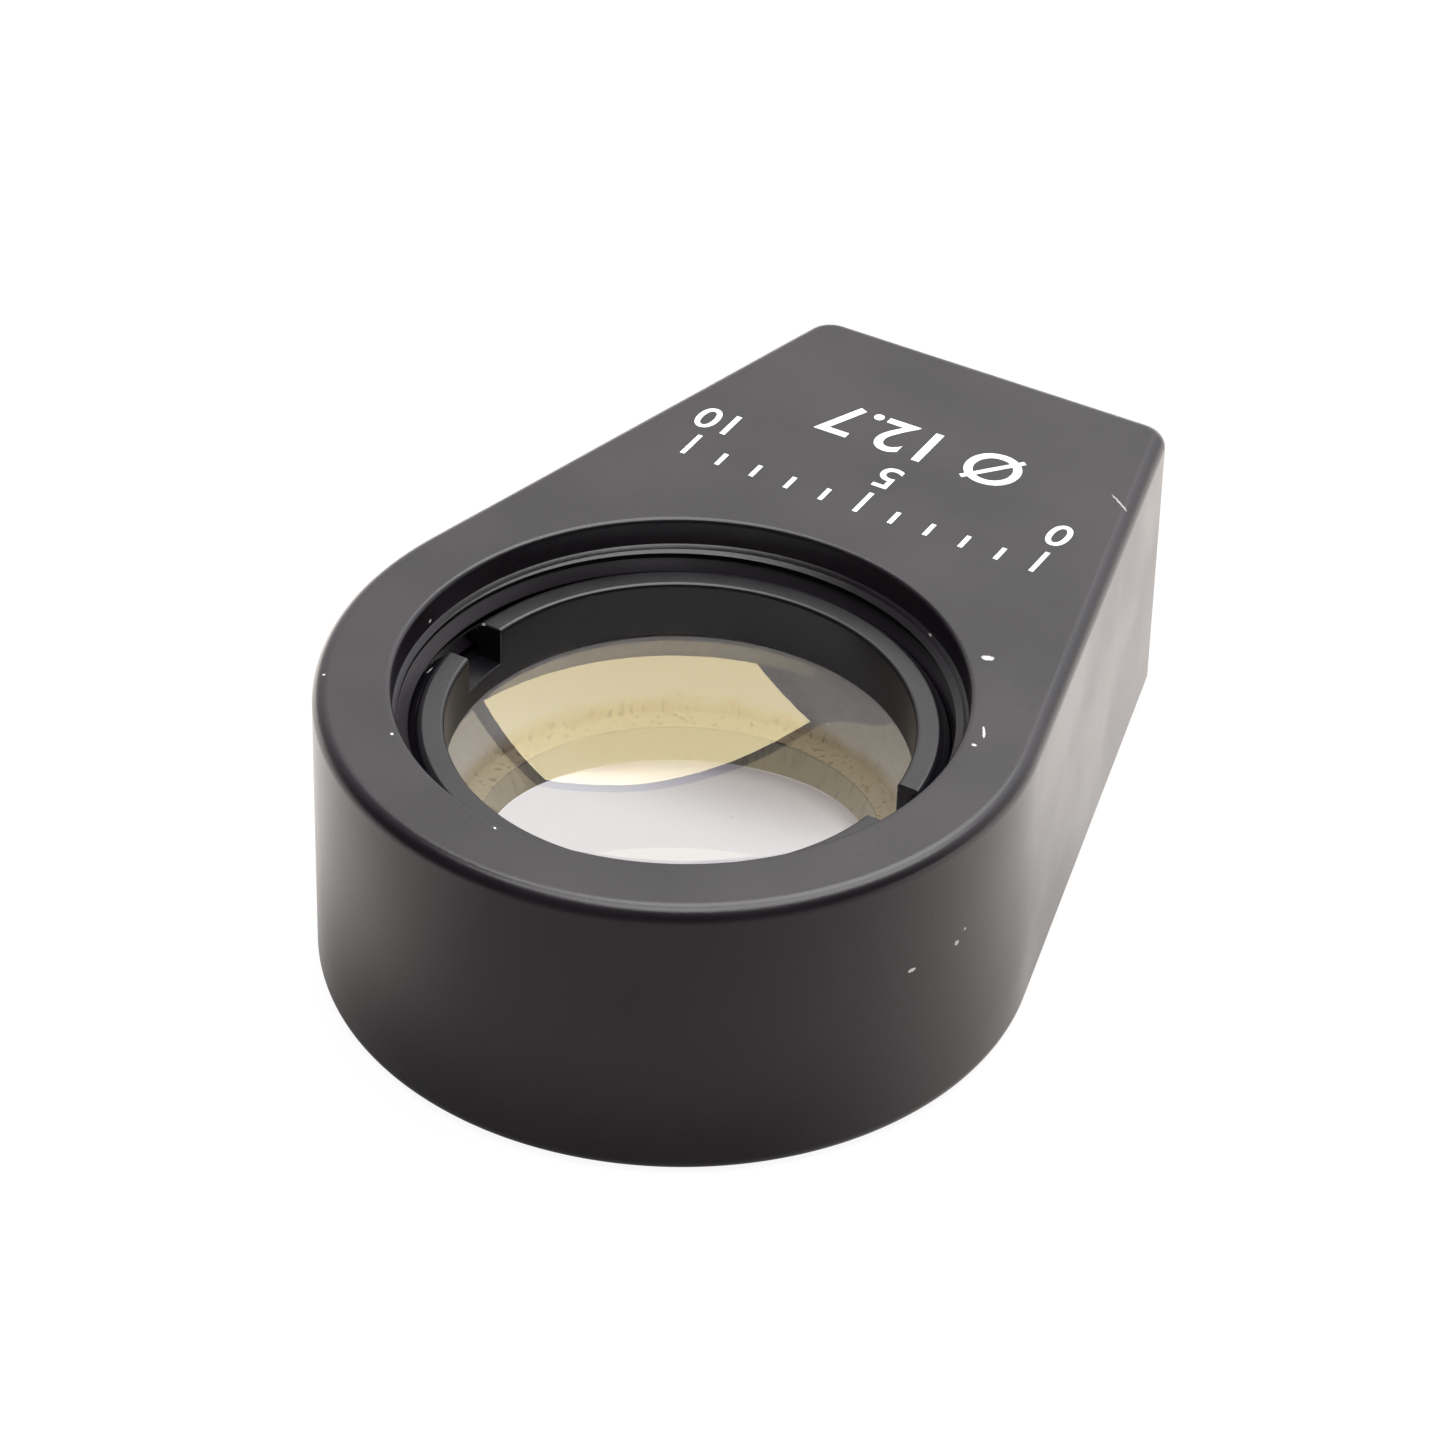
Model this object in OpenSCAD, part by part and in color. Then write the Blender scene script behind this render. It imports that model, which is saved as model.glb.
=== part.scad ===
// Fixed mount for a half-inch lens, with a screwed retaining ring.
//
// The housing lies on its rear face. The origin is on the optical axis, in the plane of the rear face:
// +Z runs along the optical axis to the front, where the ring is screwed in, and +Y runs to the flat
// base, where a post is screwed into the tapped hole. Millimetres throughout.

/* [Housing] */
// Diameter of the round end, around the optical axis
round_end_d = 17.78; // [17.2:0.02:22]
// Thickness from the rear face to the front face
thickness = 7.87; // [7.5:0.01:12]
// Height of the optical axis above the base face
axis_height = 16.26; // [14:0.01:22]
// Width of the base face, measured to its sharp corners
base_w = 10.16; // [8.5:0.02:13]
// Radius of the two upright corners beside the base face
base_corner_r = 0.8; // [0.6:0.05:1.4]
// Radius of the rounding along the outer edges of both faces
edge_r = 0.38; // [0.2:0.02:0.55]

/* [Lens Seat] */
// Width of the ledge that the lens rests on, from its edge in to the clear aperture
seat_w = 0.635; // [0.4:0.005:1.35]
// Thickness of the rear lip, from the rear face to the seat
lip_t = 0.9; // [0.8:0.05:1.4]
// Depth of the plain cell that centres the lens, above the seat
cell_depth = 1.2; // [0.8:0.05:1.6]
// Radial gap between the lens and its cell
lens_clearance = 0.05; // [0.03:0.01:0.12]

/* [Thread Bore] */
// Radial room between the lens and the major diameter of the ring's thread
lens_pass = 0.445; // [0.35:0.005:0.5]
// Radial gap between the ring's thread crests and the thread roots of the bore
thread_clearance = 0.04; // [0.02:0.01:0.08]
// Width of the relief groove at the foot of the thread
relief_w = 0.45; // [0.3:0.05:0.6]
// Depth of the relief groove below the thread roots
relief_depth = 0.1; // [0.05:0.05:0.2]
// Radial step from the thread roots of the bore out to the plain counterbore at the mouth
counterbore_step = 0.145; // [0.115:0.005:0.465]
// Depth of the plain counterbore
counterbore_depth = 0.72; // [0.4:0.02:0.9]
// Chamfer that breaks the edge of the mouth
mouth_chamfer = 0.11; // [0.05:0.01:0.3]

/* [Post Hole] */
// Major diameter of the tapped hole, 32 threads to the inch
post_hole_d = 4.17; // [3:0.01:4.5]
// Depth of the thread in the tapped hole
post_hole_depth = 6.35; // [4:0.05:7]
// Length of the drill's point below the thread
post_hole_tip = 1.1; // [0.8:0.05:1.2]
// Countersink around the mouth of the tapped hole
post_hole_csk = 0.3; // [0.1:0.05:0.4]

/* [Lens] */
// Diameter of the lens
lens_d = 12.7; // [12.5:0.01:12.8]
// Thickness of the lens on its axis
lens_ct = 3.09; // [2.8:0.01:3.3]
// Radius of the concave front surface
lens_radius = 15.5; // [13.5:0.1:20]
// Width of the flat rim that the ring bears on, from the lens edge in to the concave surface
lens_rim_w = 0.55; // [0.45:0.01:0.75]
// Bevel around both edges of the lens
lens_bevel = 0.15; // [0.05:0.01:0.2]

/* [Retaining Ring] */
// Width of the lens that the ring covers, from the lens edge in to the ring's bore
ring_cover = 0.635; // [0.4:0.005:0.85]
// Thickness of the ring
ring_t = 1.64; // [1.3:0.02:1.8]
// Lead chamfer on the outer edge at the front
ring_lead_front = 0.48; // [0.2:0.02:0.55]
// Lead chamfer on the outer edge at the lens
ring_lead_rear = 0.3; // [0.1:0.02:0.5]
// Chamfer that breaks the inner edges
ring_inner_break = 0.09; // [0.05:0.01:0.15]
// Width of the two slots for a spanner wrench
slot_w = 1.4; // [1:0.05:2]
// Depth of the two slots
slot_depth = 1; // [0.5:0.05:1.1]
// Angle at which the ring came to rest, from +X
ring_turn = -2; // [-180:1:180]
// Gap between the ring and the lens that it holds
ring_seat_gap = 0.02; // [0.01:0.01:0.05]

/* [Hidden] */

// Angular steps of a full turn, and of the large circle that cuts the lens surface
turn_steps = 180;
lens_arc_steps = 1800;
// Overshoot of a cut beyond the face that it opens
cut = 0.5;

round_end_r = round_end_d / 2;
half_base = base_w / 2;
aperture_d = lens_d - 2 * seat_w;
lens_dish_d = lens_d - 2 * lens_rim_w;
ring_bore_d = lens_d - 2 * ring_cover;
// The ring's thread has 40 threads to the inch
thread_d = lens_d + 2 * lens_pass;
thread_bore_r = thread_d / 2 + thread_clearance;
counterbore_r = thread_bore_r + counterbore_step;
cell_r = lens_d / 2 + lens_clearance;
aperture_r = aperture_d / 2;

// Round stretches of the outline stand this little proud of the straight ones, which lap into them
proud = 0.01;
lap = 0.05;
// Each straight side leaves the round end at right angles to this direction and runs to the base corner
side_angle = atan2(axis_height, half_base) - acos(round_end_r / norm([half_base, axis_height]));
corner_inset = round_end_r - base_corner_r;
corner_y = axis_height - base_corner_r;
side_length = (corner_y - corner_inset * sin(side_angle)) / cos(side_angle);
corner_x = corner_inset * cos(side_angle) - side_length * sin(side_angle);

// Heights in the bore, from the rear face
seat_z = lip_t;
cell_top_z = seat_z + cell_depth;
counterbore_z = thickness - counterbore_depth;

// The ring bears on the flat rim around the lens's concave surface
ring_od = thread_d - 2 * thread_clearance;
lens_centre_z = seat_z + lens_ct + lens_radius;
lens_rim_z = lens_centre_z - sqrt(pow(lens_radius, 2) - pow(lens_dish_d / 2, 2));
ring_z = lens_rim_z + ring_seat_gap;

// Upright section of the housing: rounded at both outer edges, reaching from x = 0 to x = reach
module wall_section(reach) {
    difference() {
        translate([0, -proud]) square([reach, thickness + 2 * proud]);
        translate([reach - edge_r, thickness + proud - edge_r]) outer_round();
        translate([reach - edge_r, edge_r - proud]) mirror([0, 1]) outer_round();
    }
}

// What a rounding of radius edge_r takes off a square corner
module outer_round() {
    difference() {
        square(edge_r + cut);
        circle(edge_r, $fn = turn_steps);
    }
}

// Stretch of the housing that turns about the origin, from one angle to another
module round_stretch(reach, from, to) {
    rotate(from) rotate_extrude(angle = to - from, $fn = turn_steps) wall_section(reach + proud);
}

// Straight stretch of the housing, along +Y from the origin, with its outer face at x = reach
module straight_stretch(reach, length) {
    translate([0, length + lap, 0])
        rotate([90, 0, 0])
            linear_extrude(length + 2 * lap) wall_section(reach);
}

// Straight side on the +X side, with the base corner that it ends in
module tapering_side() {
    rotate(side_angle) straight_stretch(round_end_r, side_length);
    translate([corner_x, corner_y, 0]) round_stretch(base_corner_r, side_angle, 90);
}

// Housing before it is bored: round end, two tapering sides and the narrow base, between its two faces
module blank() {
    intersection() {
        union() {
            round_stretch(round_end_r, -180 - side_angle, side_angle);
            tapering_side();
            mirror([1, 0, 0]) tapering_side();
            translate([corner_x, 0, 0]) rotate(90) straight_stretch(axis_height, 2 * corner_x);
        }
        translate([-round_end_d, -round_end_d, 0])
            cube([2 * round_end_d, 2 * round_end_d + axis_height, thickness]);
    }
}

// Stepped bore on the optical axis: aperture, lens cell, relief, thread, counterbore and mouth
module stepped_bore() {
    rotate_extrude($fn = turn_steps)
        polygon([
            [0, -cut],
            [aperture_r, -cut], [aperture_r, seat_z],
            [cell_r, seat_z], [cell_r, cell_top_z],
            [thread_bore_r + relief_depth, cell_top_z],
            [thread_bore_r + relief_depth, cell_top_z + relief_w],
            [thread_bore_r, cell_top_z + relief_w + relief_depth],
            [thread_bore_r, counterbore_z - counterbore_step], [counterbore_r, counterbore_z],
            [counterbore_r, thickness - mouth_chamfer],
            [counterbore_r + mouth_chamfer + cut, thickness + cut],
            [0, thickness + cut],
        ]);
}

// Blind tapped hole in the middle of the base face, drawn along +Z with its mouth at the origin
module post_hole() {
    post_r = post_hole_d / 2;
    rotate_extrude($fn = turn_steps)
        polygon([
            [0, cut], [post_r + post_hole_csk + cut, cut], [post_r, -post_hole_csk],
            [post_r, -post_hole_depth], [0, -post_hole_depth - post_hole_tip],
        ]);
}

// One-piece housing with its stepped bore and its tapped post hole
module housing() {
    color([0.16, 0.16, 0.17])
        difference() {
            blank();
            stepped_bore();
            translate([0, axis_height, thickness / 2]) rotate([-90, 0, 0]) post_hole();
        }
}

// Plano-concave lens, flat side on the seat, with bevelled edges
module lens() {
    lens_r = lens_d / 2;
    color([0.8, 0.88, 0.9, 0.5])
        rotate_extrude($fn = turn_steps)
            difference() {
                polygon([
                    [0, seat_z], [lens_r - lens_bevel, seat_z], [lens_r, seat_z + lens_bevel],
                    [lens_r, lens_rim_z - lens_bevel], [lens_r - lens_bevel, lens_rim_z],
                    [0, lens_rim_z],
                ]);
                translate([0, lens_centre_z]) circle(lens_radius, $fn = lens_arc_steps);
            }
}

// Solid of the retaining ring before it is slotted, standing on its rear face
module ring_blank() {
    inner = ring_bore_d / 2;
    outer = ring_od / 2;
    rotate_extrude($fn = turn_steps)
        polygon([
            [inner + ring_inner_break, 0], [outer - ring_lead_rear, 0],
            [outer, ring_lead_rear], [outer, ring_t - ring_lead_front],
            [outer - ring_lead_front, ring_t], [inner + ring_inner_break, ring_t],
            [inner, ring_t - ring_inner_break], [inner, ring_inner_break],
        ]);
}

// Screwed ring that holds the lens, with two slots across its front for a spanner wrench
module retaining_ring() {
    color([0.2, 0.2, 0.21])
        translate([0, 0, ring_z]) rotate(ring_turn)
            difference() {
                ring_blank();
                translate([-ring_od / 2 - cut, -slot_w / 2, ring_t - slot_depth])
                    cube([ring_od + 2 * cut, slot_w, slot_depth + cut]);
            }
}

housing();
lens();
retaining_ring();
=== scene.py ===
"""Fixed mount for a half-inch lens: anodised housing, plano-concave lens and retaining ring.

Sizes in the classes are millimetres, and become metres when a mesh is made. The optical axis is Z,
with the rear face at z = 0, the front face towards +Z and the flat base towards +Y.
"""

import logging
from collections.abc import Iterable, Sequence
from dataclasses import dataclass, field
from enum import Enum
from math import acos, asin, atan2, cos, degrees, hypot, pi, radians, sin, sqrt, tan

import bmesh
import bpy
from bpy.types import ID, Material, Mesh, Node, NodeOutputs, NodeSocket, Object
from mathutils import Matrix, Vector


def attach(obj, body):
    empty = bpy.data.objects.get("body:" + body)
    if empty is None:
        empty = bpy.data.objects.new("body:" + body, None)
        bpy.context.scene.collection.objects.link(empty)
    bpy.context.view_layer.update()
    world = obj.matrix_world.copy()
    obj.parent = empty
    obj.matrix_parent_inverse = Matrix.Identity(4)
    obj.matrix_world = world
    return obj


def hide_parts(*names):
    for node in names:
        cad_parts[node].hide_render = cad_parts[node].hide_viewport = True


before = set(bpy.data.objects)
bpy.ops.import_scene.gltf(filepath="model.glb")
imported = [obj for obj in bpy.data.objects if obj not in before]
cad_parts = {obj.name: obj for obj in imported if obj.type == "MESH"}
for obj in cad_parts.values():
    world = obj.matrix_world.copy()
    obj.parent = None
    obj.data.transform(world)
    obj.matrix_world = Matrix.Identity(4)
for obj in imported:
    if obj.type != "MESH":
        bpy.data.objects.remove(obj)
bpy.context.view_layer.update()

log = logging.getLogger("lens_mount")

MM = 0.001
TURN = 2 * pi
CREASE = 30.0
SAME_PLACE = 1e-8
# How far from an edge the rows of points stand that keep it crisp
TIGHT, CLOSE, WIDE = 0.01, 0.02, 0.03

Point = tuple[float, float, float]
Place = tuple[float, float]
Profile = Sequence[Place]
Tone = tuple[float, float, float]
Colour = tuple[float, float, float, float]
# Where a smooth change starts and ends, and the results there, which are 0 and 1 if left out; a
# change along the piece's coordinates is given in metres, as those are
Ramp = tuple[float, ...]


class Body(Enum):
    """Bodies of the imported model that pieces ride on."""

    MOUNT = "mount_body"
    RING = "ring"


class Slot(Enum):
    """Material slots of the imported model."""

    HOUSING = "anodised_housing"
    RING = "anodised_ring"
    LENS = "lens_glass"


# Meshes


@dataclass
class Shell:
    """Points and faces of one closed shell, in millimetres."""

    points: list[Point] = field(default_factory=list)
    faces: list[tuple[int, ...]] = field(default_factory=list)

    def row(self, points: Iterable[Point]) -> list[int]:
        """Add a row of points.

        Args:
            points: The points, in order.

        Returns:
            Their numbers in the shell.
        """
        start = len(self.points)
        self.points.extend(points)
        return list(range(start, len(self.points)))

    def turned(self, profile: Profile, columns: int) -> list[list[int]]:
        """Add a row of points round the axis for each point of a profile.

        Args:
            profile: Points as radius and height.
            columns: How many points each row has.

        Returns:
            The rows.
        """
        angles = [TURN * i / columns for i in range(columns)]
        return [self.row((r * cos(a), r * sin(a), z) for a in angles) for r, z in profile]

    def bridge(self, first: Sequence[int], second: Sequence[int], closed: bool = True) -> None:
        """Join two rows of equal length with four-sided faces.

        Args:
            first: Numbers of the points in one row.
            second: Numbers of the points in the other row.
            closed: True if the rows run all the way round.
        """
        count = len(first)
        for i in range(count if closed else count - 1):
            j = (i + 1) % count
            self.faces.append((first[i], first[j], second[j], second[i]))

    def bridges(self, rows: Sequence[Sequence[int]], closed: bool = True) -> None:
        """Join each row to the next one.

        Args:
            rows: The rows, in order.
            closed: True if the rows run all the way round.
        """
        for first, second in zip(rows, rows[1:]):
            self.bridge(first, second, closed)

    def fan(self, loop: Sequence[int], apex: Point) -> None:
        """Close a loop with triangles that meet in one point.

        Args:
            loop: Numbers of the points in the loop.
            apex: The point in the middle.
        """
        middle = self.row([apex])[0]
        for i, corner in enumerate(loop):
            self.faces.append((corner, loop[(i + 1) % len(loop)], middle))

    def piece(self, name: str, finish: Material, crease: float = CREASE) -> Object:
        """Make the shell an object, with its faces outwards and its creases sharp.

        Args:
            name: Name of the piece.
            finish: Material of the piece.
            crease: Angle in degrees above which an edge is sharp.

        Returns:
            The new object, at the origin.
        """
        mesh = bpy.data.meshes.new(name)
        mesh.from_pydata([[c * MM for c in p] for p in self.points], [], self.faces)
        return place_piece(name, mesh, finish, crease)


def quarter_turn(steps: int) -> list[float]:
    """Angles of a quarter turn in equal steps, both ends included."""
    return [pi / 2 * i / steps for i in range(steps + 1)]


def new_object(name: str, data: ID) -> Object:
    """Make an object from its data, at the origin of the scene."""
    made = bpy.data.objects.new(name, data)
    bpy.context.scene.collection.objects.link(made)
    return made


def plain_mesh(holder: Object) -> Mesh:
    """Make a plain mesh of what an object's modifiers or its text give."""
    graph = bpy.context.evaluated_depsgraph_get()
    graph.update()
    return bpy.data.meshes.new_from_object(holder.evaluated_get(graph))


def place_piece(name: str, mesh: Mesh, finish: Material, crease: float = CREASE) -> Object:
    """Link a mesh as an object at the origin, with outward faces and sharp creases.

    Args:
        name: Name of the piece.
        mesh: The mesh, in metres and in its place.
        finish: Material of the piece.
        crease: Angle in degrees above which an edge is sharp.

    Returns:
        The new object.
    """
    work = bmesh.new()
    work.from_mesh(mesh)
    bmesh.ops.remove_doubles(work, verts=work.verts, dist=SAME_PLACE)
    bmesh.ops.recalc_face_normals(work, faces=work.faces)
    open_edges = sum(1 for edge in work.edges if len(edge.link_faces) != 2)
    work.to_mesh(mesh)
    work.free()
    if open_edges:
        log.warning("%s has %d open edges", name, open_edges)
    mesh.shade_smooth()
    mesh.set_sharp_from_angle(angle=radians(crease))
    mesh.materials.clear()
    mesh.materials.append(finish)
    return new_object(name, mesh)


def cut_back(piece: Object, envelope: Object) -> Object:
    """Keep what lies inside an envelope, and delete the envelope.

    Args:
        piece: The piece.
        envelope: Closed shell around what stays.

    Returns:
        The new piece, with the same name and finish.
    """
    name, finish = piece.name, piece.data.materials[0]
    cut = piece.modifiers.new("envelope", "BOOLEAN")
    cut.operation = "INTERSECT"
    cut.object = envelope
    cut.solver = "EXACT"
    mesh = plain_mesh(piece)
    piece.modifiers.clear()
    bpy.data.objects.remove(piece)
    bpy.data.objects.remove(envelope)
    return place_piece(name, mesh, finish)


def fit(piece: Object, body: Body, replaces: str | None = None) -> None:
    """Put a piece on its body, and report it.

    Args:
        piece: The finished piece.
        body: Body that it rides on.
        replaces: Solid that it stands for, if it stands for one.
    """
    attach(piece, body.value)
    if replaces is not None:
        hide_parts(replaces)
    log.info("%s: %d faces, on %s", piece.name, len(piece.data.polygons), body.value)


# Finishes


@dataclass
class Nodes:
    """Short way to write the nodes of a tree."""

    tree: bpy.types.NodeTree

    def add(
        self, kind: str, values: dict[str | int, object] | None = None, **settings: object
    ) -> Node:
        """Add a node.

        Args:
            kind: Node type.
            values: What goes into its inputs: a plain value or another node's output.
            **settings: Attributes of the node.

        Returns:
            The new node.
        """
        node = self.tree.nodes.new(kind)
        for key, value in settings.items():
            setattr(node, key, value)
        for key, value in (values or {}).items():
            if isinstance(value, NodeSocket):
                self.tree.links.new(value, node.inputs[key])
            else:
                node.inputs[key].default_value = value
        return node

    def math(self, operation: str, *terms: object) -> NodeSocket:
        """Add a calculation.

        Args:
            operation: Name of the operation.
            *terms: Its terms: numbers or other nodes' outputs.

        Returns:
            The result's socket.
        """
        return self.add("ShaderNodeMath", dict(enumerate(terms)), operation=operation).outputs[0]

    def vector(self, operation: str, values: dict[str | int, object]) -> NodeOutputs:
        """Add a calculation with vectors.

        Args:
            operation: Name of the operation.
            values: Its terms, by number or name.

        Returns:
            Its outputs, of which the first is a vector and "Value" a number.
        """
        return self.add("ShaderNodeVectorMath", values, operation=operation).outputs

    def combine(self, **parts: object) -> NodeSocket:
        """Make a vector from its X, Y and Z, where a part that is left out is 0."""
        return self.add("ShaderNodeCombineXYZ", parts).outputs[0]

    def ramp(
        self, value: NodeSocket, low: float, high: float, start: object = 0.0, end: object = 1.0
    ) -> NodeSocket:
        """Map a value smoothly from one range to another.

        Args:
            value: The value's socket.
            low: Where the range starts.
            high: Where it ends.
            start: Result at the start.
            end: Result at the end.

        Returns:
            The result's socket.
        """
        node = self.add(
            "ShaderNodeMapRange",
            {"Value": value, "From Min": low, "From Max": high, "To Min": start, "To Max": end},
            interpolation_type="SMOOTHSTEP",
        )
        return node.outputs["Result"]

    def blend(self, share: NodeSocket, first: object, second: object) -> NodeSocket:
        """Mix two colours.

        Args:
            share: Share of the second colour.
            first: First colour or its socket.
            second: Second colour or its socket.

        Returns:
            The mixed colour's socket.
        """
        values = {0: share, 6: first, 7: second}
        return self.add("ShaderNodeMix", values, data_type="RGBA").outputs[2]

    def mix(self, share: NodeSocket, first: Node, second: Node) -> Node:
        """Mix two shaders.

        Args:
            share: Share of the second shader.
            first: First shader.
            second: Second shader.

        Returns:
            The mixed shader.
        """
        values = {0: share, 1: first.outputs[0], 2: second.outputs[0]}
        return self.add("ShaderNodeMixShader", values)

    def place(self) -> NodeSocket:
        """Add the piece's own coordinates, in metres."""
        return self.add("ShaderNodeTexCoord").outputs["Object"]

    def noise(self, place: NodeSocket, scale: float, detail: float = 3.0) -> NodeOutputs:
        """Add a noise.

        Args:
            place: Coordinates.
            scale: Waves per metre.
            detail: How many finer waves lie on them.

        Returns:
            Its outputs.
        """
        values = {"Vector": place, "Scale": scale, "Detail": detail}
        return self.add("ShaderNodeTexNoise", values).outputs

    def bump(self, height: NodeSocket, strength: float, depth: float) -> NodeSocket:
        """Add a fine relief.

        Args:
            height: Height of the relief, from 0 to 1.
            strength: How much of it shows.
            depth: Its depth in millimetres.

        Returns:
            The normal's socket.
        """
        values = {"Height": height, "Strength": strength, "Distance": depth * MM}
        return self.add("ShaderNodeBump", values).outputs[0]

    def glow(self, colour: object, strength: object, kind: str = "ShaderNodeEmission") -> Node:
        """Add a shader that gives light.

        Args:
            colour: Its colour.
            strength: Its strength, where 1 is white.
            kind: Node type.

        Returns:
            The shader.
        """
        return self.add(kind, {"Color": colour, "Strength": strength})

    def end(self, shader: Node, kind: str = "ShaderNodeOutputMaterial") -> None:
        """End the tree in this shader."""
        self.add(kind, {"Surface": shader.outputs[0]})


def new_material(name: str) -> tuple[Material, Nodes]:
    """Make an empty material, and give it with its nodes."""
    material = bpy.data.materials.new(name)
    material.use_nodes = True
    material.node_tree.nodes.clear()
    return material, Nodes(material.node_tree)


def toned(colour: Tone, tone: float = 1.0) -> Colour:
    """Make an opaque colour lighter or darker by a factor."""
    return (*(tone * part for part in colour), 1.0)


@dataclass(frozen=True)
class Finish:
    """Finish of one material: each kind of it gives the inputs of the main shader."""

    name: str

    def build(self) -> Material:
        """Make the material."""
        material, nodes = new_material(self.name)
        values = self.values(nodes, nodes.place())
        nodes.end(nodes.add("ShaderNodeBsdfPrincipled", values))
        return material

    def values(self, nodes: Nodes, place: NodeSocket) -> dict[str, object]:
        """Give the value or the socket of each input that the finish sets.

        Args:
            nodes: Nodes of the material.
            place: Coordinates of the piece.

        Returns:
            Values or sockets by the inputs' names.
        """
        raise NotImplementedError(self.name)


# Shares of a mark's reach at which it is gone, and whole
MARK_EDGE = (1.1, 0.75)


@dataclass(frozen=True)
class Mark:
    """Stretched spot in space in bare-metal colour: a nick or scratch where the anodised layer is
    gone, and in a few places a painted highlight.
    """

    x: float
    y: float
    z: float
    length: float
    width: float
    angle: float = 0.0
    strength: float = 1.0

    def mask(self, nodes: Nodes, place: NodeSocket) -> NodeSocket:
        """Mask of the mark, strongest in its middle and gone past its edge.

        Args:
            nodes: Nodes of the material.
            place: Coordinates, warped a little so that the spot's edge is ragged.

        Returns:
            The mask's socket.
        """
        across = self.width * MM / 2
        mapped = nodes.add(
            "ShaderNodeMapping",
            {
                "Vector": place,
                "Location": (self.x * MM, self.y * MM, self.z * MM),
                "Rotation": (0.0, 0.0, radians(self.angle)),
                "Scale": (self.length * MM / 2, across, across),
            },
            vector_type="TEXTURE",
        )
        reach = nodes.vector("LENGTH", {0: mapped.outputs[0]})["Value"]
        return nodes.ramp(reach, *MARK_EDGE, 0.0, self.strength)


@dataclass(frozen=True)
class AnodisedFinish(Finish):
    """Black anodised aluminium with a fine satin grain and bare spots where it was knocked, some
    of which are painted highlights in the same bare colour.
    """

    base: float = 0.0075
    tint: Tone = (1.0, 0.72, 1.15)
    darkest: float = 0.9
    lightest: float = 1.25
    # Bare-metal colour, used for the nicks and also for the painted highlights
    bare_and_highlight: Tone = (0.62, 0.61, 0.6)
    roughness: float = 0.3
    uneven: float = 0.03
    index: float = 1.5
    cloud_scale: float = 260.0
    cloud_tone: Ramp = (0.35, 0.65)
    cloud_rough: Ramp = (0.3, 0.7)
    grain_scale: float = 9000.0
    grain_strength: float = 0.35
    grain_depth: float = 0.010
    ragged: float = 0.09
    nicks_and_highlights: tuple[Mark, ...] = ()

    def values(self, nodes: Nodes, place: NodeSocket) -> dict[str, object]:
        """Give the inputs of the main shader.

        Args:
            nodes: Nodes of the material.
            place: Coordinates of the piece.

        Returns:
            Values or sockets by the inputs' names.
        """
        fine = nodes.noise(place, self.grain_scale)["Fac"]
        cloud = nodes.noise(place, self.cloud_scale, 4.0)["Fac"]
        push = nodes.noise(place, self.grain_scale, 2.0)["Color"]
        centred = nodes.vector("SUBTRACT", {0: push, 1: (0.5, 0.5, 0.5)})[0]
        small = nodes.vector("SCALE", {0: centred, "Scale": self.ragged * MM})[0]
        warped = nodes.vector("ADD", {0: place, 1: small})[0]
        # Mask of the bare nicks and of the painted highlights, which share one colour
        worn_and_highlight: object = 0.0
        for mark in self.nicks_and_highlights:
            worn_and_highlight = nodes.math("MAXIMUM", worn_and_highlight, mark.mask(nodes, warped))
        dark = toned(self.tint, self.base * self.darkest)
        light = toned(self.tint, self.base * self.lightest)
        skin = nodes.blend(nodes.ramp(cloud, *self.cloud_tone), dark, light)
        satin, matt = self.roughness - self.uneven, self.roughness + self.uneven
        return {
            "Base Color": nodes.blend(worn_and_highlight, skin, toned(self.bare_and_highlight)),
            "Roughness": nodes.ramp(cloud, *self.cloud_rough, satin, matt),
            "IOR": self.index,
            "Normal": nodes.bump(fine, self.grain_strength, self.grain_depth),
        }


@dataclass(frozen=True)
class GlassFinish(Finish):
    """Clear polished crown glass with a thin coating that gives its reflections a straw colour."""

    tint: Tone = (1.85, 1.54, 0.77)
    index: float = 1.517
    haze_scale: float = 500.0
    haze: Ramp = (0.55, 0.8, 0.0, 0.012)
    dust_scale: float = 900.0
    dust_edge: Ramp = (0.07, 0.03)
    dust_rough: float = 0.35

    def values(self, nodes: Nodes, place: NodeSocket) -> dict[str, object]:
        """Give the inputs of the main shader.

        Args:
            nodes: Nodes of the material.
            place: Coordinates of the piece.

        Returns:
            Values or sockets by the inputs' names.
        """
        haze = nodes.noise(place, self.haze_scale, 5.0)["Fac"]
        dust = nodes.add("ShaderNodeTexVoronoi", {"Vector": place, "Scale": self.dust_scale})
        spots = nodes.ramp(dust.outputs["Distance"], *self.dust_edge)
        film = nodes.ramp(haze, *self.haze)
        dusty = nodes.math("MULTIPLY", spots, self.dust_rough)
        return {
            "Base Color": (1.0, 1.0, 1.0, 1.0),
            "Roughness": nodes.math("ADD", film, dusty),
            "IOR": self.index,
            "Transmission Weight": 1.0,
            "Specular Tint": toned(self.tint),
        }


@dataclass(frozen=True)
class Residue:
    """Cement that crept round the lens seat and dried, with darker runs along the axis."""

    deep: float
    light: float
    brown: Tone = (0.9, 0.62, 0.34)
    straw: Tone = (1.0, 0.81, 0.55)
    scale: float = 5200.0
    stretch: float = 0.22
    edge: Ramp = (0.3, 0.46)

    def colour(self, nodes: Nodes, place: NodeSocket) -> NodeSocket:
        """Colour of the cement.

        Args:
            nodes: Nodes of the material.
            place: Coordinates of the piece.

        Returns:
            The colour's socket.
        """
        values = {"Vector": place, "Scale": (1.0, 1.0, self.stretch)}
        stretched = nodes.add("ShaderNodeMapping", values).outputs[0]
        runs = nodes.ramp(nodes.noise(stretched, self.scale)["Fac"], *self.edge)
        return nodes.blend(runs, toned(self.brown, self.deep), toned(self.straw, self.light))


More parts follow.
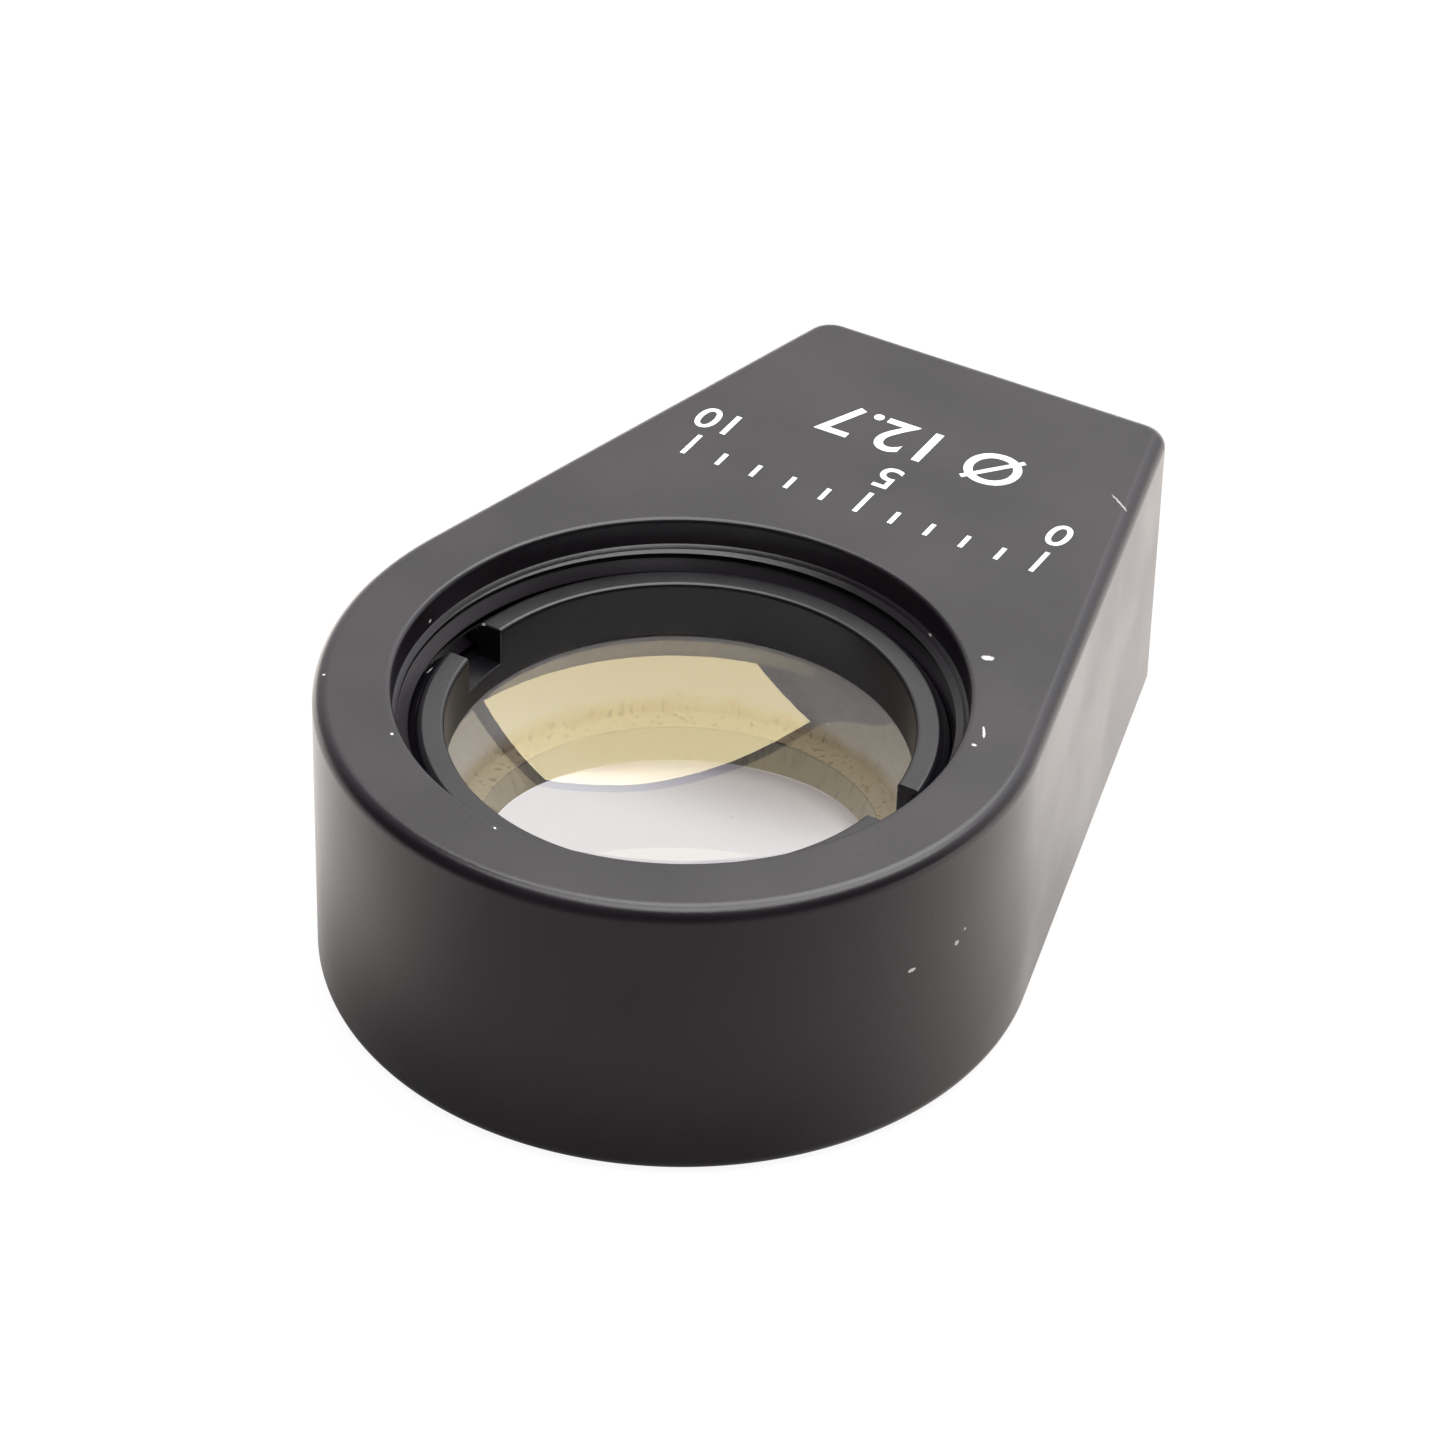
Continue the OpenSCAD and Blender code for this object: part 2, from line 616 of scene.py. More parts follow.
@dataclass(frozen=True)
class GroundFinish(Finish):
    """Glass ground matt, as a lens has on its edge and rim, with cement crept up from its foot."""

    darkest: Tone = (0.58, 0.565, 0.565)
    lightest: Tone = (0.72, 0.7, 0.7)
    roughness: float = 0.55
    grit_scale: float = 3000.0
    grit_strength: float = 0.3
    grit_depth: float = 0.01
    cement: Residue = Residue(0.24, 0.46)
    crept: Ramp = (0.0009, 0.0021, 1.0, 0.0)
    drift_scale: float = 700.0
    drift: float = 1.2

    def values(self, nodes: Nodes, place: NodeSocket) -> dict[str, object]:
        """Give the inputs of the main shader.

        Args:
            nodes: Nodes of the material.
            place: Coordinates of the piece.

        Returns:
            Values or sockets by the inputs' names.
        """
        cloud = nodes.noise(place, self.grit_scale)["Fac"]
        clean = nodes.blend(cloud, toned(self.darkest), toned(self.lightest))
        height = nodes.add("ShaderNodeSeparateXYZ", {0: place}).outputs["Z"]
        drift = nodes.math("SUBTRACT", nodes.noise(place, self.drift_scale)["Fac"], 0.5)
        wavy = nodes.math("ADD", height, nodes.math("MULTIPLY", drift, self.drift * MM))
        crept = nodes.ramp(wavy, *self.crept)
        return {
            "Base Color": nodes.blend(crept, clean, self.cement.colour(nodes, place)),
            "Roughness": self.roughness,
            "Normal": nodes.bump(cloud, self.grit_strength, self.grit_depth),
        }


@dataclass(frozen=True)
class CementFinish(Finish):
    """Thin brown cement dried on the lens seat and on the wall below it."""

    cement: Residue = Residue(0.035, 0.12)
    roughness: float = 0.45

    def values(self, nodes: Nodes, place: NodeSocket) -> dict[str, object]:
        """Give the inputs of the main shader.

        Args:
            nodes: Nodes of the material.
            place: Coordinates of the piece.

        Returns:
            Values or sockets by the inputs' names.
        """
        return {"Base Color": self.cement.colour(nodes, place), "Roughness": self.roughness}


@dataclass(frozen=True)
class InkFinish(Finish):
    """White screen-printed ink, a little uneven."""

    thin: Tone = (0.8, 0.8, 0.78)
    full: Tone = (0.93, 0.93, 0.92)
    scale: float = 2500.0
    cover: Ramp = (0.3, 0.6)
    roughness: float = 0.5

    def values(self, nodes: Nodes, place: NodeSocket) -> dict[str, object]:
        """Give the inputs of the main shader.

        Args:
            nodes: Nodes of the material.
            place: Coordinates of the piece.

        Returns:
            Values or sockets by the inputs' names.
        """
        cover = nodes.ramp(nodes.noise(place, self.scale)["Fac"], *self.cover)
        colour = nodes.blend(cover, toned(self.thin), toned(self.full))
        return {"Base Color": colour, "Roughness": self.roughness}


# Screw threads


@dataclass
class NodeTree:
    """Geometry Nodes tree that is being built, with its named inputs."""

    name: str
    tree: bpy.types.NodeTree = field(init=False)
    given: Node = field(init=False)
    sockets: dict[str, str] = field(default_factory=dict)

    def __post_init__(self) -> None:
        """Make the empty tree with its input node."""
        self.tree = bpy.data.node_groups.new(self.name, "GeometryNodeTree")
        self.given = self.tree.nodes.new("NodeGroupInput")

    def input(self, label: str, kind: str = "NodeSocketFloat") -> NodeSocket:
        """Add a named input.

        Args:
            label: Its name.
            kind: Its socket type.

        Returns:
            The socket that gives its value inside the tree.
        """
        item = self.tree.interface.new_socket(label, in_out="INPUT", socket_type=kind)
        self.sockets[label] = item.identifier
        return self.given.outputs[label]

    def inputs(self, *labels: str) -> list[NodeSocket]:
        """Add a named input of type float for each label, in order."""
        return [self.input(label) for label in labels]

    def close(self, geometry: NodeSocket) -> None:
        """End the tree in Realize Instances and Set Material.

        Args:
            geometry: Socket of the finished geometry.
        """
        finish = self.input("Finish", "NodeSocketMaterial")
        self.tree.interface.new_socket(
            "Geometry", in_out="OUTPUT", socket_type="NodeSocketGeometry"
        )
        nodes = Nodes(self.tree)
        real = nodes.add("GeometryNodeRealizeInstances", {"Geometry": geometry}).outputs[0]
        dressed = nodes.add("GeometryNodeSetMaterial", {"Geometry": real, "Material": finish})
        nodes.add("NodeGroupOutput", {0: dressed.outputs[0]})

    def mesh(self, values: dict[str, object]) -> Mesh:
        """Run the tree with the given values.

        Args:
            values: Value of each named input.

        Returns:
            The plain mesh that it makes.
        """
        holder = new_object(self.name, bpy.data.meshes.new(self.name))
        modifier = holder.modifiers.new(self.name, "NODES")
        modifier.node_group = self.tree
        for label, value in values.items():
            modifier[self.sockets[label]] = value
        mesh = plain_mesh(holder)
        holder.modifiers.remove(modifier)
        bpy.data.objects.remove(holder)
        return mesh


class Hand(Enum):
    """Side that a thread's ridge stands on, and how many pitches its root and crest are wide."""

    OUTSIDE = (1.0, 3 / 4, 1 / 8)
    INSIDE = (-1.0, 7 / 8, 1 / 20)


@dataclass
class ThreadTree:
    """Geometry Nodes tree for the helical ridge of a right-handed thread."""

    least_scale: float = 0.02
    made: NodeTree = field(init=False)

    def __post_init__(self) -> None:
        """Build the tree: a helix, a trapezoid that follows it, and a run-out at both ends."""
        self.made = made = NodeTree("helical_ridge")
        nodes = Nodes(made.tree)
        radius, pitch, turns, root, crest, depth, side, start, phase, run_in, run_out, edge = (
            made.inputs(
                "Root Radius", "Pitch", "Turns", "Root Width", "Crest Width", "Depth", "Side",
                "Start Height", "Phase", "Run In", "Run Out", "Edge Radius",
            )
        )
        helix = nodes.add(
            "GeometryNodeCurveSpiral",
            {
                "Resolution": made.input("Steps per Turn", "NodeSocketInt"),
                "Rotations": turns,
                "Start Radius": radius,
                "End Radius": radius,
                "Height": nodes.math("MULTIPLY", pitch, turns),
                "Reverse": True,
            },
        )
        upright = nodes.add("GeometryNodeSetCurveNormal", {"Curve": helix.outputs[0]}, mode="Z_UP")
        profile = nodes.add(
            "GeometryNodeCurvePrimitiveQuadrilateral",
            {"Height": depth, "Bottom Width": root, "Top Width": crest, "Offset": 0.0},
            mode="TRAPEZOID",
        )
        eased = nodes.add(
            "GeometryNodeFilletCurve",
            {"Curve": profile.outputs[0], "Count": 2, "Radius": edge},
            mode="POLY",
        )
        raised = nodes.combine(Y=nodes.math("MULTIPLY", depth, 0.5))
        lifted = moved(nodes, eased, Translation=raised)
        facing = nodes.combine(Z=nodes.math("MULTIPLY", side, -pi / 2))
        turned = moved(nodes, lifted, Rotation=facing)
        along = nodes.add("GeometryNodeSplineParameter").outputs["Factor"]
        first = nodes.math("DIVIDE", along, run_in)
        last = nodes.math("DIVIDE", nodes.math("SUBTRACT", 1.0, along), run_out)
        rise = nodes.math("MINIMUM", nodes.math("MINIMUM", first, last), 1.0)
        ridge = nodes.add(
            "GeometryNodeCurveToMesh",
            {
                "Curve": upright.outputs[0],
                "Profile Curve": turned.outputs[0],
                "Scale": nodes.math("MAXIMUM", rise, self.least_scale),
                "Fill Caps": True,
            },
        )
        up, spin = nodes.combine(Z=start), nodes.combine(Z=phase)
        made.close(moved(nodes, ridge, Translation=up, Rotation=spin).outputs[0])


def moved(nodes: Nodes, made: Node, **values: object) -> Node:
    """Move the geometry that a node makes.

    Args:
        nodes: Nodes of the tree.
        made: The node.
        **values: Its translation, rotation or scale, named as in the new node.

    Returns:
        The new node.
    """
    return nodes.add("GeometryNodeTransform", {"Geometry": made.outputs[0], **values})


@dataclass(frozen=True)
class Thread:
    """Sizes of one right-handed thread ridge, in millimetres and degrees."""

    root_r: float
    pitch: float
    hand: Hand
    depth: float
    start_z: float
    end_z: float
    phase: float
    run_in: float = 0.25
    run_out: float = 0.25
    sink: float = 0.015
    edge_r: float = 0.012
    steps: int = 180

    def mesh(self, tree: ThreadTree, finish: Material) -> Mesh:
        """Make the ridge's mesh around Z.

        Args:
            tree: Tree that makes the ridge.
            finish: Its material.

        Returns:
            The mesh, in metres.
        """
        turns = (self.end_z - self.start_z) / self.pitch
        side, wide, narrow = self.hand.value
        return tree.made.mesh(
            {
                "Root Radius": (self.root_r - side * self.sink) * MM,
                "Pitch": self.pitch * MM,
                "Turns": turns,
                "Root Width": wide * self.pitch * MM,
                "Crest Width": narrow * self.pitch * MM,
                "Depth": (self.depth + self.sink) * MM,
                "Side": side,
                "Start Height": self.start_z * MM,
                "Phase": radians(self.phase),
                "Run In": self.run_in / turns,
                "Run Out": self.run_out / turns,
                "Edge Radius": self.edge_r * MM,
                "Steps per Turn": self.steps,
                "Finish": finish,
            }
        )


@dataclass(frozen=True)
class Helix:
    """Line that a thread's crest follows: its pitch, and its height in one direction."""

    pitch: float
    angle: float
    z: float

    def at(self, z: float) -> float:
        """Direction in degrees in which the line is at this height."""
        return self.angle + 360 * (z - self.z) / self.pitch


BORE_CREST = Helix(pitch=0.635, angle=180.0, z=6.65)


# Housing


@dataclass(frozen=True)
class Column:
    """Upright line on the housing's outline, with the direction that the outline faces there."""

    x: float
    y: float
    nx: float
    ny: float

    @classmethod
    def arc(cls, centre: Place, r: float, start: float, end: float, steps: int) -> list["Column"]:
        """Columns along an arc.

        Args:
            centre: Middle of the arc.
            r: Its radius.
            start: Angle at which it starts, in radians from +X.
            end: Angle at which it ends.
            steps: How many steps it has.

        Returns:
            The columns, with those at both ends.
        """
        turns = [start + (end - start) * i / steps for i in range(steps + 1)]
        return [cls(centre[0] + r * cos(a), centre[1] + r * sin(a), cos(a), sin(a)) for a in turns]

    @classmethod
    def line(cls, angle: float, start: Place, end: Place, step: float) -> list["Column"]:
        """Columns along a straight side, at equal angles around the axis.

        Args:
            angle: Direction that the side faces, in radians from +X.
            start: Where it starts.
            end: Where it ends.
            step: Largest angle between two columns, in degrees.

        Returns:
            The columns, without those at the ends.
        """
        first, last = atan2(start[1], start[0]), atan2(end[1], end[0])
        steps = int(abs(last - first) / radians(step)) + 1
        reach = start[0] * cos(angle) + start[1] * sin(angle)
        made = []
        for i in range(1, steps):
            a = first + (last - first) * i / steps
            r = reach / cos(a - angle)
            made.append(cls(r * cos(a), r * sin(a), cos(angle), sin(angle)))
        return made

    def inset(self, distance: float, z: float) -> Point:
        """Point at a distance inside the outline."""
        return (self.x - distance * self.nx, self.y - distance * self.ny, z)

    def around(self, radius: float, z: float) -> Point:
        """Point on a circle around the axis, in this column's direction."""
        reach = hypot(self.x, self.y)
        return (radius * self.x / reach, radius * self.y / reach, z)


@dataclass
class Housing:
    """One-piece housing: round end, tapering sides, flat base, stepped bore and tapped post hole.

    A field that ends in break is the size of an edge's chamfer. The bore's thread is cut back to
    the cone at its start by an envelope, which stands a little proud of the cone and reaches clear
    of the thread's crest.
    """

    finish: Material
    cement: Material
    round_end_r: float = 8.89
    thickness: float = 7.87
    axis_height: float = 16.26
    base_w: float = 10.16
    base_corner_r: float = 0.8
    edge_r: float = 0.38
    aperture_r: float = 5.715
    seat_z: float = 0.9
    cell_r: float = 6.4
    cell_top_z: float = 2.1
    thread_r: float = 6.835
    relief_depth: float = 0.1
    relief_w: float = 0.45
    counterbore_r: float = 6.98
    counterbore_depth: float = 0.72
    mouth_round: float = 0.12
    thread_break: float = 0.012
    cell_break: float = 0.04
    seat_break: float = 0.05
    rear_break: float = 0.11
    thread_depth: float = 0.24
    thread_foot_z: float = 2.62
    start_slope: float = 36.0
    proud: float = 0.003
    clear: float = 0.2
    post_r: float = 2.085
    post_depth: float = 6.35
    post_tip: float = 1.1
    post_tip_r: float = 0.12
    post_csk: float = 0.3
    post_pitch: float = 0.794
    post_thread_depth: float = 0.35
    post_thread_end: float = 6.0
    edge_steps: int = 10
    corner_steps: int = 12
    mouth_steps: int = 6
    wall_rows: int = 24
    base_columns: int = 44
    column_step: float = 0.75
    envelope_columns: int = 360

    @property
    def side_angle(self) -> float:
        """Direction that the +X side faces, in radians from +X."""
        half = self.base_w / 2
        reach = hypot(half, self.axis_height)
        return atan2(self.axis_height, half) - acos(self.round_end_r / reach)

    @property
    def corner(self) -> Place:
        """Centre of the +X base corner's arc."""
        arm = self.round_end_r - self.base_corner_r
        y = self.axis_height - self.base_corner_r
        run = (y - arm * sin(self.side_angle)) / cos(self.side_angle)
        return (arm * cos(self.side_angle) - run * sin(self.side_angle), y)

    @property
    def counterbore_z(self) -> float:
        """Height of the counterbore's floor."""
        return self.thickness - self.counterbore_depth

    def start_z(self, r: float) -> float:
        """Height of the cone at the thread's start at a radius."""
        return self.counterbore_z - (self.counterbore_r - r) * tan(radians(self.start_slope))

    def columns(self) -> tuple[list[Column], range]:
        """Columns of the outline, anticlockwise from the round end's -X side.

        Returns:
            The columns, and the range of those on the flat base.
        """
        tilt, step, r = self.side_angle, self.column_step, self.base_corner_r
        cx, cy = self.corner
        tangent = (self.round_end_r * cos(tilt), self.round_end_r * sin(tilt))
        top = (cx + r * cos(tilt), cy + r * sin(tilt))
        round_steps = round(degrees(pi + 2 * tilt) / step)
        made = Column.arc((0, 0), self.round_end_r, -pi - tilt, tilt, round_steps)
        made += Column.line(tilt, tangent, top, step)
        made += Column.arc((cx, cy), r, tilt, pi / 2, self.corner_steps)
        first = len(made) - 1
        for i in range(1, self.base_columns):
            made.append(Column(cx - 2 * cx * i / self.base_columns, self.axis_height, 0, 1))
        last = len(made)
        made += Column.arc((-cx, cy), r, pi / 2, pi - tilt, self.corner_steps)
        made += Column.line(pi - tilt, (-top[0], top[1]), (-tangent[0], tangent[1]), step)
        return made, range(first, last + 1)

    def bore_profile(self) -> Profile:
        """Profile of the bore as radius and height, from the front face down to the rear face."""
        edge, tiny = self.mouth_round, self.thread_break
        mouth = self.counterbore_r + edge
        cone = (self.counterbore_r - tiny, self.thread_r + tiny)
        foot = self.cell_top_z + self.relief_w
        relief_r = self.thread_r + self.relief_depth
        top, aperture, seat, rear = self.thickness, self.aperture_r, self.seat_z, self.rear_break
        turns = quarter_turn(self.mouth_steps)
        return [
            (mouth + CLOSE + WIDE, top),
            *((mouth - edge * sin(a), top - edge * (1 - cos(a))) for a in turns),
            (self.counterbore_r, top - edge - TIGHT),
            (self.counterbore_r, self.counterbore_z + CLOSE),
            *((r, self.start_z(r)) for r in cone),
            (self.thread_r, self.start_z(self.thread_r) - tiny),
            (self.thread_r, foot + self.relief_depth),
            (relief_r, foot),
            (relief_r, self.cell_top_z),
            (self.cell_r + self.cell_break, self.cell_top_z),
            (self.cell_r, self.cell_top_z - self.cell_break),
            (self.cell_r, seat + WIDE),
            (self.cell_r, seat),
            (aperture + self.seat_break, seat),
            (aperture, seat - self.seat_break),
            (aperture, seat - self.seat_break - WIDE),
            (aperture, rear + WIDE),
            (aperture, rear),
            (aperture + rear - TIGHT, TIGHT),
            (aperture + rear, 0.0),
            (aperture + rear + WIDE, 0.0),
        ]

    def body(self) -> Object:
        """Make the housing's own shell."""
        shell = Shell()
        columns, base = self.columns()
        r, t = self.edge_r, self.thickness
        turns = quarter_turn(self.edge_steps)

        def outline_row(inset: float, z: float) -> list[int]:
            """Add a row round the housing, this far inside the outline."""
            return shell.row(c.inset(inset, z) for c in columns)

        rows = [outline_row(r + CLOSE, 0.0)]
        rows += [outline_row(r * (1 - sin(a)), r * (1 - cos(a))) for a in turns]
        low = len(rows)
        foot, tall = r + CLOSE, t - 2 * (r + CLOSE)
        steps = range(self.wall_rows + 1)
        rows += [outline_row(0.0, foot + tall * i / self.wall_rows) for i in steps]
        high = len(rows) - 1
        rows += [outline_row(r * (1 - cos(a)), t - r * (1 - sin(a))) for a in turns]
        rows.append(outline_row(r + CLOSE, t))
        for radius, z in self.bore_profile():
            rows.append(shell.row(c.around(radius, z) for c in columns))
        rows.append(rows[0])
        count = len(columns)
        for k in range(len(rows) - 1):
            if low <= k < high:
                around = [i % count for i in range(base[-1], base[0] + count + 1)]
                shell.bridge([rows[k][i] for i in around], [rows[k + 1][i] for i in around], False)
            else:
                shell.bridge(rows[k], rows[k + 1])
        window = [rows[low][i] for i in base]
        window += [rows[k][base[-1]] for k in range(low + 1, high)]
        window += [rows[high][i] for i in reversed(base)]
        window += [rows[k][base[0]] for k in range(high - 1, low, -1)]
        self.post_hole(shell, window)
        body = shell.piece("mount_housing", self.finish)
        body.data.materials.append(self.cement)
        low_z, high_z = (self.rear_break + TIGHT) * MM, (self.seat_z + TIGHT) * MM
        for face in body.data.polygons:
            x, y, z = face.center
            if hypot(x, y) < self.cell_r * MM and low_z < z < high_z:
                face.material_index = 1
        return body

    def post_hole(self, shell: Shell, window: Sequence[int]) -> None:
        """Join the edge of the base face's window to the tapped hole, and close the hole.

        Args:
            shell: Shell of the housing.
            window: Numbers of the points around the window.
        """
        middle = self.thickness / 2
        mouth = self.post_r + self.post_csk
        rays = []
        for number in window:
            x, _, z = shell.points[number]
            reach = hypot(x, z - middle)
            rays.append((x / reach, (z - middle) / reach))
        tip = self.post_tip * (1 - self.post_tip_r / self.post_r)
        profile = [
            (mouth + WIDE, 0.0),
            (mouth, TIGHT / 2),
            (self.post_r + TIGHT, self.post_csk - TIGHT),
            (self.post_r, self.post_csk + CLOSE),
            (self.post_r, self.post_depth - CLOSE),
            (self.post_r, self.post_depth),
            (self.post_tip_r, self.post_depth + tip),
        ]
        rows = [window]
        for radius, depth in profile:
            y = self.axis_height - depth
            rows.append(shell.row((radius * x, y, middle + radius * z) for x, z in rays))
        shell.bridges(rows)
        bottom = self.axis_height - self.post_depth - self.post_tip
        shell.fan(rows[-1], (0.0, bottom, middle))

    def bore_thread(self, tree: ThreadTree) -> Object:
        """Make the ridge of the bore's thread.

        Args:
            tree: Tree that makes threads.

        Returns:
            The piece.
        """
        ridge = Thread(
            root_r=self.thread_r,
            pitch=BORE_CREST.pitch,
            hand=Hand.INSIDE,
            depth=self.thread_depth,
            start_z=self.thread_foot_z,
            end_z=self.counterbore_z + BORE_CREST.pitch,
            phase=BORE_CREST.at(self.thread_foot_z),
            run_in=0.2,
            run_out=0.05,
        )
        piece = place_piece("bore_thread", ridge.mesh(tree, self.finish), self.finish)
        inner = self.thread_r - self.thread_depth - self.clear
        outer = self.thread_r + 2 * WIDE
        low = self.thread_foot_z - BORE_CREST.pitch
        profile = [
            (inner, low),
            (inner, self.start_z(inner) + self.proud),
            (outer, self.start_z(outer) + self.proud),
            (outer, low),
        ]
        shell = Shell()
        rows = shell.turned(profile, self.envelope_columns)
        shell.bridges(rows + rows[:1])
        return cut_back(piece, shell.piece("envelope", self.finish))

    def post_thread(self, tree: ThreadTree) -> Object:
        """Make the ridge of the post hole's thread.

        Args:
            tree: Tree that makes threads.

        Returns:
            The piece.
        """
        ridge = Thread(
            root_r=self.post_r,
            pitch=self.post_pitch,
            hand=Hand.INSIDE,
            depth=self.post_thread_depth,
            start_z=self.post_csk,
            end_z=self.post_thread_end,
            phase=0.0,
            run_in=0.3,
            run_out=0.5,
            steps=96,
        )
        mesh = ridge.mesh(tree, self.finish)
        into_base = Matrix.Translation((0, self.axis_height * MM, self.thickness / 2 * MM))
        mesh.transform(into_base @ Matrix.Rotation(radians(90), 4, "X"))
        return place_piece("post_hole_thread", mesh, self.finish)


# Lens and retaining ring


@dataclass
class Lens:
    """Plano-concave lens, flat side on its seat, with a flat rim that the ring bears on.

    A film of cement lifts it off the seat, and its rear face is polished within seated_r.
    """

    finish: Material
    ground: Material
    radius: float = 6.35
    seat_z: float = 0.9
    centre_t: float = 3.09
    front_r: float = 15.5
    dish_r: float = 5.8
    bevel: float = 0.15
    rear_bevel: float = 0.04
    seated_r: float = 5.715
    film: float = 0.003
    crease: float = 18.0
    columns: int = 288
    rings: int = 60
    rear_rings: int = 8

    def front_z(self, r: float) -> float:
        """Height of the concave surface at a radius."""
        return self.seat_z + self.centre_t + self.front_r - sqrt(self.front_r**2 - r**2)

    def body(self) -> Object:
        """Make the lens."""
        shell = Shell()
        rim_z = self.front_z(self.dish_r)
        rear_z = self.seat_z + self.film
        steps = [self.dish_r * i / self.rings for i in range(1, self.rings + 1)]
        front = [(r, self.front_z(r)) for r in steps]
        foot = self.radius - self.rear_bevel
        edge = [
            (self.radius - self.bevel, rim_z),
            (self.radius, rim_z - self.bevel),
            (self.radius, rear_z + self.rear_bevel),
            (foot, rear_z),
            (foot - TIGHT, rear_z),
        ]
        flat = self.rear_rings
        rear = [(self.seated_r * i / flat, rear_z) for i in range(flat, 0, -1)]
        rows = shell.turned(front + edge + rear, self.columns)
        shell.bridges(rows)
        shell.fan(rows[0], (0.0, 0.0, self.seat_z + self.centre_t))
        shell.fan(rows[-1], (0.0, 0.0, rear_z))
        lens = shell.piece("lens_element", self.finish, self.crease)
        lens.data.materials.append(self.ground)
        for face in lens.data.polygons:
            x, y, z = face.center
            polished = self.dish_r if z > (rear_z + self.film) * MM else self.seated_r
            if hypot(x, y) > polished * MM:
                face.material_index = 1
        return lens


